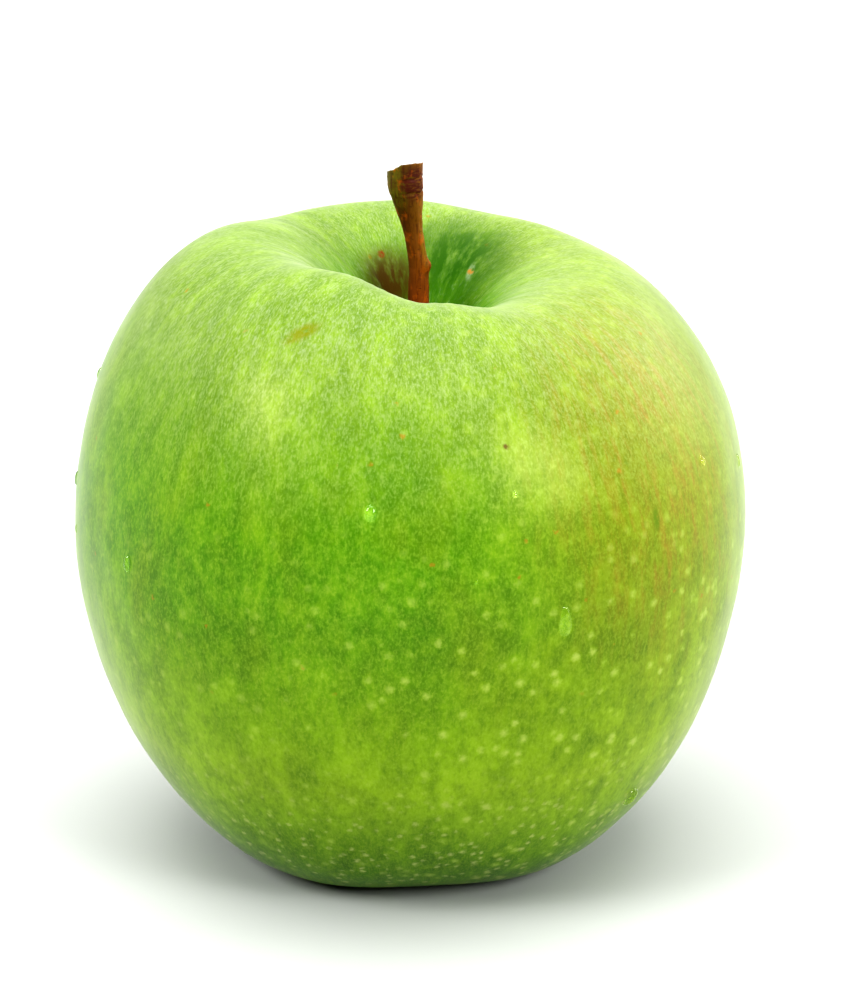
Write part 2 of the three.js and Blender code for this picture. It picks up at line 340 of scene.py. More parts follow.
# %% Bark
BARK_LAYERS = (  # how far it stands out, its changes round the stem, its length, its shift in the noise
    (0.07, 2.6, 5, (0, 0)),
    (0.05, 1.8, 1.1, (3, 0)),
    (0.025, 6, 0.5, (0, 7)),
)
KNOB_HEIGHT = 15.6
KNOB_SIZE = 0.42
KNOB_REACH = 0.75
KNOB_TURN = -0.25
KNOB_SPREAD = 0.5
CRACK_HEIGHTS = (24.1, 25.7)
CRACK_WANDER = 0.25
CRACK_DEPTH = 0.13
CRACK_WIDTH = 0.13
CALLUS = 0.1
CALLUS_HEIGHT = 23.4


def stem_bark(turn, height):
    """How far the bark stands out, in millimetres: ridges, bud knob, cracks, and the callus on the flare."""
    around = Vector((math.cos(turn), math.sin(turn), 0))
    relief = 0
    for depth, often, length, shift in BARK_LAYERS:
        relief += depth * noise.noise(around * often + Vector((*shift, height / length)))
    along_knob, round_knob = (height - KNOB_HEIGHT) / KNOB_REACH, (turn - KNOB_TURN) / KNOB_SPREAD
    relief += KNOB_SIZE * (math.exp(-along_knob ** 2) * math.exp(-round_knob ** 2))
    for crack in CRACK_HEIGHTS:
        wander = crack + CRACK_WANDER * noise.noise(around * 1.7 + Vector((crack, 0, 0)))
        # The cracks close on the left side, where x is lowest
        relief -= CRACK_DEPTH * math.exp(-((height - wander) / CRACK_WIDTH) ** 2) * smooth(0.75 + around.x)
    # The callus swells on the left side only
    relief += CALLUS * smooth((height - CALLUS_HEIGHT) / 0.5) * smooth(0.4 - around.x)
    return relief


# %% Stem mesh
def broken_end(x, y):
    """How far the broken end departs from an even cut: it slopes, has a notch on its left and is rough."""
    slope = STEM_CUT_SLOPE * (x - 3 * y) - STEM_NOTCH_DEPTH * smooth((-x - 0.5) / 0.9) - STEM_CUT_DEPTH
    rough = 0.16 * noise.noise(Vector((x, y, 0)) * 1.9) + 0.07 * noise.noise(Vector((x, y, 5)) * 5)
    return slope + rough


def make_stem():
    bm = spin_profile(stem_profile(), STEM_COLUMNS)
    for vert in bm.verts:
        radius, turn, height = math.hypot(vert.co.x, vert.co.y), math.atan2(vert.co.y, vert.co.x), vert.co.z
        share = radius / stem_radius(height)
        radius += stem_bark(turn, height) * share
        x, y = radius * math.cos(turn), radius * math.sin(turn)
        near_top = smooth((height - STEM_LENGTH + STEM_LIP) / STEM_LIP)
        hollow = -STEM_HOLLOW * (1 - share) if height > STEM_LENGTH - 0.01 else 0
        bend = STEM_BEND * smooth((height - KNOB_HEIGHT + STEM_BEND) / (STEM_LENGTH - KNOB_HEIGHT))
        vert.co = STEM_FOOT + Vector((x - bend, y, height + near_top * broken_end(x, y) + hollow))
    return bm


stem = finish_mesh(make_stem(), "apple_stem", PLACE)
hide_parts("stem")
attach(stem, "root")

# %% [markdown]
# ## The calyx
# Underneath, in the basin, sit the dried remains of the flower: five curled sepals round a short tube, and
# the tips of the stamens between them. A sepal is thin, so it starts as a grid, which a formula narrows to
# a point and curls outwards. Solidify then gives it its thickness. The tube and the stamens are cones.

# %% Calyx dimensions
SEPAL_LENGTH = 5.5
SEPAL_WIDTH = 3.2
SEPAL_TIP = 0.04
SEPAL_THICKNESS = 0.55
SEPAL_ROOT_RADIUS = 1.9
SEPAL_LEANS = (math.radians(-20), math.radians(100))
BASIN_FLOOR = grow(Vector((0, 0, BASIN_DEPTH)))
SEPAL_ROOT_HEIGHT = BASIN_FLOOR.z - 0.4
TUBE_RADIUS = 2.4
TUBE_TAPER = 0.3
TUBE_LENGTH = 2.6
TUBE_LIFT = 0.6
STAMENS = 14
STAMEN_RADIUS = 0.22
STAMEN_TIP = 0.1
STAMEN_LENGTH = 2.6


def curl_sepal(point, seed):
    """Lays a point of the flat sepal, with 0 to 1 along x and -1 to 1 along y, into its curled place."""
    share, side = point.x, point.y
    half_width = SEPAL_WIDTH / 2 * (1 - share) ** 0.75 * (1 + 0.5 * share) + SEPAL_TIP
    start, end = SEPAL_LEANS
    bend = (end - start + 0.3 * noise.noise(Vector((seed, 0, 0)))) / SEPAL_LENGTH
    lean = start + bend * share * SEPAL_LENGTH
    crease = noise.noise(Vector((share * 5, side * 2.5, seed)))
    lift = 0.5 * side * side * (1 - share) + 0.3 * crease * share + 0.12 * math.cos(side * 9) * share
    out = SEPAL_ROOT_RADIUS + (math.cos(start) - math.cos(lean)) / bend + lift * math.cos(lean)
    down = (math.sin(lean) - math.sin(start)) / bend - lift * math.sin(lean)
    return Vector((out, side * half_width + 0.35 * share * crease, SEPAL_ROOT_HEIGHT - down))


# %% Calyx mesh
def add_sepal(bm, seed, angle):
    grid = bmesh.ops.create_grid(bm, x_segments=22, y_segments=12, size=1)["verts"]
    faces = list({face for vert in grid for face in vert.link_faces})
    for vert in grid:
        vert.co = curl_sepal(Vector(((vert.co.x + 1) / 2, vert.co.y, 0)), seed)
    shell = bmesh.ops.solidify(bm, geom=faces, thickness=SEPAL_THICKNESS)["geom"]
    sepal = {v for v in shell if isinstance(v, bmesh.types.BMVert)} | set(grid)
    bmesh.ops.rotate(bm, verts=list(sepal), matrix=Matrix.Rotation(math.radians(angle), 3, "Z"))


def add_stamen(bm, i):
    """One stamen of a double ring. It leans a little, and its tip points down."""
    stamen = bmesh.ops.create_cone(
        bm, cap_ends=True, segments=8,
        radius1=STAMEN_RADIUS, radius2=STAMEN_TIP, depth=STAMEN_LENGTH,
    )["verts"]
    turn = 2 * math.pi * i / STAMENS
    lean = 0.25 * noise.noise(Vector((i * 1.7, 0, 0)))
    bmesh.ops.translate(bm, verts=stamen, vec=(0.65 + 0.6 * (i % 2), 0, 0))
    tilt = Matrix.Rotation(turn, 3, "Z") @ Matrix.Rotation(lean, 3, "X") @ Matrix.Rotation(math.pi, 3, "X")
    bmesh.ops.rotate(bm, verts=stamen, matrix=tilt)
    height = SEPAL_ROOT_HEIGHT - STAMEN_LENGTH / 2 + 0.3 * math.sin(i * 2.3)
    bmesh.ops.translate(bm, verts=stamen, vec=(0, 0, height))


def make_calyx():
    bm = bmesh.new()
    for seed, angle in enumerate(LOBE_ANGLES):
        add_sepal(bm, seed + 0.5, angle)
    tube = bmesh.ops.create_cone(
        bm, cap_ends=True, segments=40,
        radius1=TUBE_RADIUS, radius2=TUBE_RADIUS - TUBE_TAPER, depth=TUBE_LENGTH,
    )["verts"]
    bmesh.ops.translate(bm, verts=tube, vec=(0, 0, SEPAL_ROOT_HEIGHT + TUBE_LIFT))
    for i in range(STAMENS):
        add_stamen(bm, i)
    bmesh.ops.recalc_face_normals(bm, faces=bm.faces)
    return bm


calyx = finish_mesh(make_calyx(), "apple_calyx", PLACE)
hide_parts("calyx")
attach(calyx, "root")

# %% [markdown]
# ## Water drops
# A few small drops cling to the skin. A drop on wax stands up like a lens, and a larger one sags into a
# tear. Each starts as a sphere, is flattened and stretched, and is laid on the skin at an angle round the
# core and a height up the flank. The place and the slope of the skin there are read from the fruit's mesh.
# A clear drop would still cast the shadow of a solid one here, so the drops cast none: the light reaches
# the skin under them, as it does through real water.

# %% Drops
DROPS = (  # angle round the core in degrees, height, width and length in millimetres
    (263.5, 50.9, 1.6, 2.0), (296, 38.2, 1.9, 3.6), (331.5, 50.2, 1.0, 1.3), (321.5, 11.9, 2.3, 2.5),
    (214.5, 39.8, 1.3, 2.0), (288.5, 52.2, 0.75, 0.85), (182, 42.5, 0.9, 1.7), (351.5, 46.1, 0.8, 1.6),
    (178, 54, 0.7, 1.3), (186, 37.5, 0.6, 1.0), (281, 43.5, 0.5, 0.55), (150, 46, 1.0, 1.3),
    (75, 52, 0.9, 1.2), (52, 33, 1.2, 1.9), (110, 28, 0.8, 1.0), (18, 57, 0.7, 0.9),
)
DROP_SAG = 0.9
DROP_FLATNESS = 0.62
DROP_SINK = 0.02


def skin_at(angle, height):
    """The point of the fruit at an angle and a height, and the direction that its skin faces there."""
    turn = math.radians(angle)
    start = Vector((2 * GIRTH_RADIUS * math.cos(turn), 2 * GIRTH_RADIUS * math.sin(turn), height)) * MM
    _, point, normal, _ = fruit.ray_cast(start, Vector((-start.x, -start.y, 0)).normalized())
    return point / MM, normal


def make_drops():
    bm = bmesh.new()
    for angle, height, width, length in DROPS:
        drop = bmesh.ops.create_uvsphere(bm, u_segments=28, v_segments=18, radius=0.5)["verts"]
        for vert in drop:
            x, y, z = vert.co
            sag = smooth(0.5 + y) * (length - width) / length
            vert.co = Vector((x * width * (1 - DROP_SAG * sag), y * length, z * width * DROP_FLATNESS))
        point, normal = skin_at(angle, height)
        side = Vector((0, 0, 1)).cross(normal).normalized()
        stand = Matrix((side, normal.cross(side), normal)).transposed()
        bmesh.ops.rotate(bm, verts=drop, matrix=stand)
        bmesh.ops.translate(bm, verts=drop, vec=point - normal * width * DROP_SINK)
    return bm


drops = finish_mesh(make_drops(), "water_drops", Vector((0, 0, 0)))
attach(drops, "root")
drops.visible_shadow = False

# %% [markdown]
# ## Helpers for materials
# A finish is a small tree of nodes. One function adds a node, sets it and links it. Another turns the sRGB
# colours that one reads off a colour picker into the linear values that Blender's shaders use. The last
# three make the patterns that several finishes share: noise stretched along the grain, scattered spots, and
# a patch round a point of the part. All their sizes are millimetres on the real thing.
#
# A Mix node that blends colours has three sockets and one output that are reached by number, because their
# names also belong to its sockets for plain numbers. They get names of their own here.

# %% Material helpers
SHARE, UNDER, OVER, BLEND = 0, 6, 7, 2


def srgb(code):
    """An sRGB hex colour as linear RGBA."""
    shares = [int(code[i:i + 2], 16) / 255 for i in (1, 3, 5)]
    linear = [s / 12.92 if s <= 0.04045 else ((s + 0.055) / 1.055) ** 2.4 for s in shares]
    return (*linear, 1.0)


def add_node(tree, kind, inputs, output=0, **settings):
    """Adds a node, sets its options, gives each input a value or a link, and hands back one output."""
    node = tree.nodes.new("ShaderNode" + kind)
    for name, value in settings.items():
        setattr(node, name, value)
    for name, value in inputs.items():
        if isinstance(value, bpy.types.NodeSocket):
            tree.links.new(value, node.inputs[name])
        else:
            node.inputs[name].default_value = value
    return node.outputs[output] if node.outputs else None


def new_material(piece, name):
    """A material on a piece, with its empty node tree and the place on the piece in millimetres."""
    material = bpy.data.materials.new(name)
    material.use_nodes = True
    tree = material.node_tree
    tree.nodes.clear()
    piece.data.materials.append(material)
    metres = add_node(tree, "TexCoord", {}, "Object")
    return tree, add_node(tree, "VectorMath", {0: metres, "Scale": 1 / MM}, operation="SCALE")


def grain_noise(tree, place, across, lengthwise, detail=2.0, offset=0.0):
    """Noise with features of one size across the grain and another along it."""
    stretched = add_node(tree, "Mapping", {
        "Vector": place, "Location": (offset,) * 3, "Scale": (1 / across, 1 / across, 1 / lengthwise)})
    return add_node(tree, "TexNoise", {"Vector": stretched, "Scale": 1.0, "Detail": detail, "Roughness": 0.6})


def spots(tree, place, cell, offset, core, halo, fewer):
    """Scattered round spots, about one to a cell: 1 inside the core, 0 beyond the halo. Some are left out."""
    shifted = add_node(tree, "Mapping", {
        "Vector": place, "Location": (offset,) * 3, "Scale": (1 / cell,) * 3})
    distance = add_node(tree, "TexVoronoi", {"Vector": shifted, "Scale": 1.0}, "Distance")
    chance = add_node(tree, "TexVoronoi", {"Vector": shifted, "Scale": 1.0}, "Color")
    chance = add_node(tree, "SeparateColor", {"Color": chance}, "Red")
    size = add_node(tree, "MapRange", {"Value": chance, "From Min": fewer, "From Max": 1, "To Min": 0.7})
    size = add_node(tree, "Math", {0: size, 1: halo / cell}, operation="MULTIPLY")
    near_it = add_node(tree, "MapRange", {
        "Value": distance, "From Min": size, "From Max": core / cell}, interpolation_type="SMOOTHSTEP")
    kept = add_node(tree, "Math", {0: chance, 1: fewer}, operation="GREATER_THAN")
    return add_node(tree, "Math", {0: near_it, 1: kept}, operation="MULTIPLY")


def patch(tree, place, centre, core, edge, stretch=(1, 1, 1), turn=(0, 0, 0)):
    """A soft patch round a point of the part: 1 inside the core distance, 0 beyond the edge distance."""
    local = add_node(tree, "Mapping", {
        "Vector": place, "Location": centre, "Rotation": [math.radians(a) for a in turn],
        "Scale": stretch}, vector_type="TEXTURE")
    distance = add_node(tree, "VectorMath", {0: local}, "Value", operation="LENGTH")
    return add_node(tree, "MapRange", {
        "Value": distance, "From Min": edge, "From Max": core}, interpolation_type="SMOOTHSTEP")


# %% [markdown]
# ## Colours of the skin
# Apple skin is a living layer, and its colour is painted like one, from the ground up. Each layer is a
# colour and a mask, and the masks fade over heights and distances in millimetres:
# - a yellow-green ground, darker at the foot with painted shade, sunnier on the right, with cloudy patches in
#   two sizes;
# - the blush of the side that faced the sun, a faint ochre veil with a little orange;
# - pale threads along the meridians, which dapple the flank and turn frosty up on the shoulders;
# - the lenticels, which are the pores of the skin, in pale halos, and a few orange specks;
# - the funnel round the stem, its own darker green deepened by painted shade, with rays and a touch of russet
#   at the bottom;
# - the few flaws that make this apple this one: a spot, a bruise, a scuff and specks of rust.

# %% Skin colours
MID_GREEN = srgb("#407402")
LOW_GREEN = srgb("#7A9A12")
TOP_GREEN = srgb("#5F7A0E")
SUNNY_GREEN = srgb("#7E8C16")
# Painted shade for the foot, where little light reaches
FOOT_SHADE_GREEN = srgb("#2A6600")
FROST = srgb("#949F86")
DEEP_GREEN = srgb("#2E5702")
PALE_GREEN = srgb("#88A81E")
DAPPLE = srgb("#94AC3E")
CREAM = srgb("#BABC7C")
OCHRE = srgb("#746C16")
ORANGE_BLUSH = srgb("#8E5E28")
SPECK_ORANGE = srgb("#98661E")
RUSSET = srgb("#3C2C0A")
SPOT_BROWN = srgb("#4A3A08")
SPECK_RUST = srgb("#66300A")
SCUFF_BROWN = srgb("#6C700C")
BRUISE_OLIVE = srgb("#58700A")
# The funnel's own deep green, also used for the painted shade in it
CAVITY_SHADE_GREEN = srgb("#244E02")

# %% Places of the marks and of the painted shade, in millimetres
SPOT_PLACE = (10.2, -31.2, 56.8)
BRUISE_PLACE = (26.2, -26.1, 46.8)
PALE_DASH_PLACE = (6.7, 6.5, 64)
CAVITY_SPOT_PLACE = (-3.2, 8.8, 65.3)
SCUFF_PLACE = (-11.3, -24.7, 67.2)
BLUSH_PLACE = (27, -21.5, 52.5)
# Painted shade: where the stem's shade is painted into the cavity
SHADE_PLACE = (5.5, 9.5, 63.5)
RUSSET_PLACE = (-2.2, 6.6, 63)


# %% Ground
def paint_ground(tree, place, grain):
    """The green ground with its clouds, and painted shade at the foot. Gives back the colour."""
    height = add_node(tree, "SeparateXYZ", {"Vector": place}, "Z")
    top = add_node(tree, "MapRange", {"Value": height, "From Min": 47, "From Max": 65})
    low = add_node(tree, "MapRange", {"Value": height, "From Min": 38, "From Max": 18})
    ground = add_node(tree, "Mix", {SHARE: top, UNDER: MID_GREEN, OVER: TOP_GREEN}, BLEND, data_type="RGBA")
    ground = add_node(tree, "Mix", {SHARE: low, UNDER: ground, OVER: LOW_GREEN}, BLEND, data_type="RGBA")

    regions = grain_noise(tree, grain, 9, 17, 3.0, 23)
    lighter = add_node(tree, "MapRange", {"Value": regions, "From Min": 0.5, "From Max": 0.7, "To Max": 0.7})
    ground = add_node(tree, "Mix", {SHARE: lighter, UNDER: ground, OVER: TOP_GREEN}, BLEND, data_type="RGBA")
    sideways = add_node(tree, "SeparateXYZ", {"Vector": place}, "X")
    sunny = add_node(tree, "MapRange", {"Value": sideways, "From Min": 2, "From Max": 28, "To Max": 0.48})
    ground = add_node(tree, "Mix", {SHARE: sunny, UNDER: ground, OVER: SUNNY_GREEN}, BLEND, data_type="RGBA")
    # Painted shade: the ground darkens towards the foot
    foot = add_node(tree, "MapRange", {"Value": height, "From Min": 18, "From Max": 4, "To Max": 0.9})
    ground = add_node(tree, "Mix", {SHARE: foot, UNDER: ground, OVER: FOOT_SHADE_GREEN}, BLEND, data_type="RGBA")

    calm = add_node(tree, "MapRange", {
        "Value": height, "From Min": 42, "From Max": 56, "To Min": 1.0, "To Max": 0.45})
    for across, lengthwise, share, offset in ((5, 8, 0.5, 3), (1.7, 2.8, 0.4, 11)):
        clouds = grain_noise(tree, grain, across, lengthwise, 4.0, offset)
        dark = add_node(tree, "MapRange", {
            "Value": clouds, "From Min": 0.52, "From Max": 0.3, "To Max": share})
        dark = add_node(tree, "Math", {0: dark, 1: calm}, operation="MULTIPLY")
        ground = add_node(
            tree, "Mix", {SHARE: dark, UNDER: ground, OVER: DEEP_GREEN}, BLEND, data_type="RGBA")
        pale = add_node(tree, "MapRange", {
            "Value": clouds, "From Min": 0.5, "From Max": 0.75, "To Max": share * 0.7})
        ground = add_node(
            tree, "Mix", {SHARE: pale, UNDER: ground, OVER: PALE_GREEN}, BLEND, data_type="RGBA")
    return ground


# %% Blush
def paint_blush(tree, place, grain, ground):
    """The sunny side: a faint ochre veil, with a little orange in streaks."""
    region = patch(tree, place, BLUSH_PLACE, 4, 22, (1, 1.2, 1.4))
    streaks = grain_noise(tree, grain, 1.1, 6, 4.0, 41)
    veil = add_node(tree, "MapRange", {
        "Value": streaks, "From Min": 0.3, "From Max": 0.65, "To Min": 0.4, "To Max": 0.75})
    veil = add_node(tree, "Math", {0: veil, 1: region}, operation="MULTIPLY")
    ground = add_node(tree, "Mix", {SHARE: veil, UNDER: ground, OVER: OCHRE}, BLEND, data_type="RGBA")
    flush = add_node(tree, "MapRange", {"Value": streaks, "From Min": 0.48, "From Max": 0.68, "To Max": 0.42})
    flush = add_node(tree, "Math", {0: flush, 1: region}, operation="MULTIPLY")
    return add_node(tree, "Mix", {SHARE: flush, UNDER: ground, OVER: ORANGE_BLUSH}, BLEND, data_type="RGBA")


# %% Threads
def paint_streaks(tree, place, grain, ground):
    """The fine grain of the skin: pale threads along the meridians. On the shoulders they are frosty."""
    height = add_node(tree, "SeparateXYZ", {"Vector": place}, "Z")
    frost = add_node(tree, "MapRange", {"Value": height, "From Min": 48, "From Max": 66})
    thread = add_node(tree, "Mix", {SHARE: frost, UNDER: DAPPLE, OVER: FROST}, BLEND, data_type="RGBA")
    share = add_node(tree, "MapRange", {"Value": frost, "To Min": 0.32, "To Max": 0.44})
    for across, lengthwise, offset, most in ((0.26, 0.42, 0, 1), (0.5, 0.8, 7, 0.6)):
        streaks = grain_noise(tree, grain, across, lengthwise, 4.0, offset)
        thin = add_node(tree, "MapRange", {
            "Value": streaks, "From Min": 0.47, "From Max": 0.64,
            "To Min": 0.1 * most, "To Max": 0.85 * most})
        thin = add_node(tree, "Math", {0: thin, 1: share}, operation="MULTIPLY")
        ground = add_node(tree, "Mix", {SHARE: thin, UNDER: ground, OVER: thread}, BLEND, data_type="RGBA")
    # The deep green gaps lie between the broader of the two sorts of thread, which came last
    gaps = add_node(tree, "MapRange", {"Value": streaks, "From Min": 0.47, "From Max": 0.32, "To Max": 0.22})
    return add_node(tree, "Mix", {SHARE: gaps, UNDER: ground, OVER: DEEP_GREEN}, BLEND, data_type="RGBA")


# %% Pores
def paint_pores(tree, place, ground):
    """Lenticels: cream dots in pale halos, close together near the base, and orange specks higher up."""
    height = add_node(tree, "SeparateXYZ", {"Vector": place}, "Z")
    lower = add_node(tree, "MapRange", {"Value": height, "From Min": 50, "From Max": 34, "To Min": 0.25})
    sideways = add_node(tree, "SeparateXYZ", {"Vector": place}, "X")
    right = add_node(tree, "MapRange", {"Value": sideways, "From Min": -14, "From Max": 8, "To Min": 0.4})
    lower = add_node(tree, "Math", {0: lower, 1: right}, operation="MULTIPLY")
    base = add_node(tree, "MapRange", {"Value": height, "From Min": 22, "From Max": 8})
    upper = add_node(tree, "MapRange", {"Value": height, "From Min": 24, "From Max": 36})
    # A fine noise shifts the place, so that the dots get frayed outlines
    fray = add_node(tree, "TexNoise", {"Vector": place, "Scale": 2.2, "Detail": 2.0}, "Color")
    frayed = add_node(tree, "VectorMath", {0: fray, 1: (0.7,) * 3, 2: place}, operation="MULTIPLY_ADD")
    for cell, offset, core, halo, fewer, zone, colour, share in (
        (2.0, 3.7, 0.1, 1.15, 0.3, lower, PALE_GREEN, 0.5),
        (2.0, 3.7, 0.0, 0.85, 0.3, lower, CREAM, 0.36),
        (1.3, 5.1, 0.06, 0.62, 0.2, base, CREAM, 0.55),
        (3.3, 9.1, 0.1, 0.45, 0.68, upper, SPECK_ORANGE, 0.55),
    ):
        dots = spots(tree, frayed, cell, offset, core, halo, fewer)
        dots = add_node(tree, "Math", {0: dots, 1: zone}, operation="MULTIPLY")
        dots = add_node(tree, "Math", {0: dots, 1: share}, operation="MULTIPLY")
        ground = add_node(tree, "Mix", {SHARE: dots, UNDER: ground, OVER: colour}, BLEND, data_type="RGBA")
    return ground


# %% Cavity
def paint_cavity(tree, place, grain, ground):
    """In the funnel: radial lines, painted shade of deep green near the stem, and russet at the bottom."""
    dashes = grain_noise(tree, grain, 2.2, 0.9, 4.0, 37)
    funnel = patch(tree, place, CAVITY_FLOOR, 8, 19)
    lines = add_node(tree, "MapRange", {"Value": dashes, "From Min": 0.54, "From Max": 0.7, "To Max": 0.75})
    lines = add_node(tree, "Math", {0: lines, 1: funnel}, operation="MULTIPLY")
    ground = add_node(tree, "Mix", {SHARE: lines, UNDER: ground, OVER: FROST}, BLEND, data_type="RGBA")
    rays = grain_noise(tree, grain, 4, 3, 5.0, 31)
    # Painted shade: the funnel darkens round its bottom and behind the stem, over its own darker green
    for centre, core, edge, stretch, share, colour in (
        (CAVITY_FLOOR, 8, 21, (1, 1, 1), 0.65, MID_GREEN),
        (SHADE_PLACE, 2, 9, (1.1, 1, 1), 1.0, CAVITY_SHADE_GREEN),
        (CAVITY_FLOOR, 5, 13, (1, 1, 1.1), 0.95, CAVITY_SHADE_GREEN),
        (RUSSET_PLACE, 1, 5, (1, 1.1, 1.3), 1.0, RUSSET),
    ):
        mask = patch(tree, place, centre, core, edge, stretch)
        broken = add_node(tree, "MapRange", {
            "Value": rays, "From Min": 0.66, "From Max": 0.46, "To Min": share * 0.55, "To Max": share})
        mask = add_node(tree, "Math", {0: mask, 1: broken}, operation="MULTIPLY")
        ground = add_node(tree, "Mix", {SHARE: mask, UNDER: ground, OVER: colour}, BLEND, data_type="RGBA")
    return ground


# %% Marks
MARK_CORE = 0.4
MARK_EDGE = 1.3


def paint_marks(tree, place, ground):
    """Small flaws: a brown spot, an olive bruise, a brown scuff, and specks in the cavity."""
    crumbs = grain_noise(tree, place, 0.5, 0.5, 3.0, 5)
    for centre, stretch, turn, share, colour in (
        (PALE_DASH_PLACE, (0.4, 1.3, 1.3), (0, 0, -25), 0.4, FROST),
        (PALE_DASH_PLACE, (0.4, 0.4, 0.4), (0, 0, 0), 0.9, SPECK_ORANGE),
        (CAVITY_SPOT_PLACE, (0.45, 0.6, 0.5), (0, 0, 0), 1.1, SPECK_RUST),
        (SPOT_PLACE, (0.42, 0.42, 0.3), (0, 25, 0), 1.2, SPOT_BROWN),
        (BRUISE_PLACE, (0.5, 0.6, 1.7), (0, 0, 0), 1.0, BRUISE_OLIVE),
        (SCUFF_PLACE, (2.3, 0.9, 0.9), (0, -24, 13), 0.8, SCUFF_BROWN),
    ):
        mask = patch(tree, place, centre, MARK_CORE, MARK_EDGE, stretch, turn)
        broken = add_node(tree, "MapRange", {
            "Value": crumbs, "From Min": 0.3, "From Max": 0.55, "To Max": share})
        mask = add_node(tree, "Math", {0: mask, 1: broken}, operation="MULTIPLY", use_clamp=True)
        ground = add_node(tree, "Mix", {SHARE: mask, UNDER: ground, OVER: colour}, BLEND, data_type="RGBA")
    return ground


# %% [markdown]
# ## Wax of the skin
# Over the colours lies a thin coat of natural wax. It gives soft, broad highlights with no sharp edge, so
# the roughness is middling. The highlights of an apple are yellow-green rather than white, which the
# specular tint does, and the level rises where one looks along the surface. A little sheen gives the pale
# edge. Wax is thin at the foot and gone in the funnel, and on the crest a dry bloom makes it more matt.

# %% Wax
WAX_IOR = 1.45
WAX_TINT = srgb("#FFFFA8")
WAX_ROUGHNESS = 0.36
BLOOM_ROUGHNESS = 0.62
BLOOM_GLOSS = 0.5
SHEEN = 0.24
SHEEN_ROUGHNESS = 0.25


def skin_material():
    tree, place = new_material(fruit, "waxy apple skin")
    grain = add_node(tree, "Attribute", {}, "Vector", attribute_name="grain")
    colour = paint_ground(tree, place, grain)
    colour = paint_blush(tree, place, grain, colour)
    colour = paint_streaks(tree, place, grain, colour)
    colour = paint_pores(tree, place, colour)
    colour = paint_cavity(tree, place, grain, colour)
    colour = paint_marks(tree, place, colour)

    funnel = patch(tree, place, CAVITY_FLOOR, 10, 20)
    facing = add_node(tree, "LayerWeight", {"Blend": 0.5}, "Facing")
    gloss = add_node(tree, "MapRange", {"Value": facing, "From Min": 0.58, "To Min": 0.36, "To Max": 1.1})
    open_skin = add_node(tree, "Math", {0: 1.0, 1: funnel}, operation="SUBTRACT")
    height = add_node(tree, "SeparateXYZ", {"Vector": place}, "Z")
    waxed = add_node(tree, "MapRange", {"Value": height, "From Min": 2, "From Max": 17, "To Min": 0.2})
    waxed = add_node(tree, "Math", {0: waxed, 1: open_skin}, operation="MULTIPLY")
    gloss = add_node(tree, "Math", {0: gloss, 1: waxed}, operation="MULTIPLY")
    sheen = add_node(tree, "Math", {0: waxed, 1: SHEEN}, operation="MULTIPLY")

    bloom = add_node(tree, "MapRange", {"Value": height, "From Min": 62, "From Max": 67})
    rough = add_node(tree, "MapRange", {"Value": bloom, "To Min": WAX_ROUGHNESS, "To Max": BLOOM_ROUGHNESS})
    duller = add_node(tree, "MapRange", {"Value": bloom, "To Min": 1.0, "To Max": BLOOM_GLOSS})
    gloss = add_node(tree, "Math", {0: gloss, 1: duller}, operation="MULTIPLY")
    shader = add_node(tree, "BsdfPrincipled", {
        "Base Color": colour, "Roughness": rough, "IOR": WAX_IOR, "Specular IOR Level": gloss,
        "Specular Tint": WAX_TINT, "Sheen Weight": sheen, "Sheen Roughness": SHEEN_ROUGHNESS})
    add_node(tree, "OutputMaterial", {"Surface": shader})
    return len(tree.nodes)


print("the skin has", skin_material(), "nodes")

# %% [markdown]
# ## Finish of the stem
# The stem is young bark over wood: orange-brown below, browner near the top, with fine fibres along its
# length. Painted shade darkens its left side, and a painted yellow highlight runs up its right side. The
# flare has an olive patch, and its broken end is corky and dark red-brown. Dry bark has hardly any gloss, so
# the specular level is low.

# %% Stem colours and places
LOWER_BARK = srgb("#763808")
UPPER_BARK = srgb("#78500E")
# Painted shade for the left side of the stem
PAINTED_SHADE_BARK = srgb("#3E1604")
OLIVE_BARK = srgb("#58520A")
# Painted highlight: a yellow strip of light along the stem's right side
PAINTED_HIGHLIGHT_YELLOW = srgb("#8A700A")
CORK_RED = srgb("#481A0A")
FIBRE_BROWN = srgb("#40180A")
BLOTCH_ORANGE = srgb("#A4560C")
CRUMB_BROWN = srgb("#2C0E06")
STEM_TOP = STEM_FOOT + PLACE + Vector((-STEM_BEND, 0, STEM_LENGTH))
OLIVE_PLACE = STEM_TOP + Vector((-1.5, -1.2, -1.9))
CORK_PLACE = STEM_TOP + Vector((1.0, -1.5, -2.0))
HIGHLIGHT_PLACE = STEM_FOOT + PLACE + Vector((0.8, -0.7, 19.8))


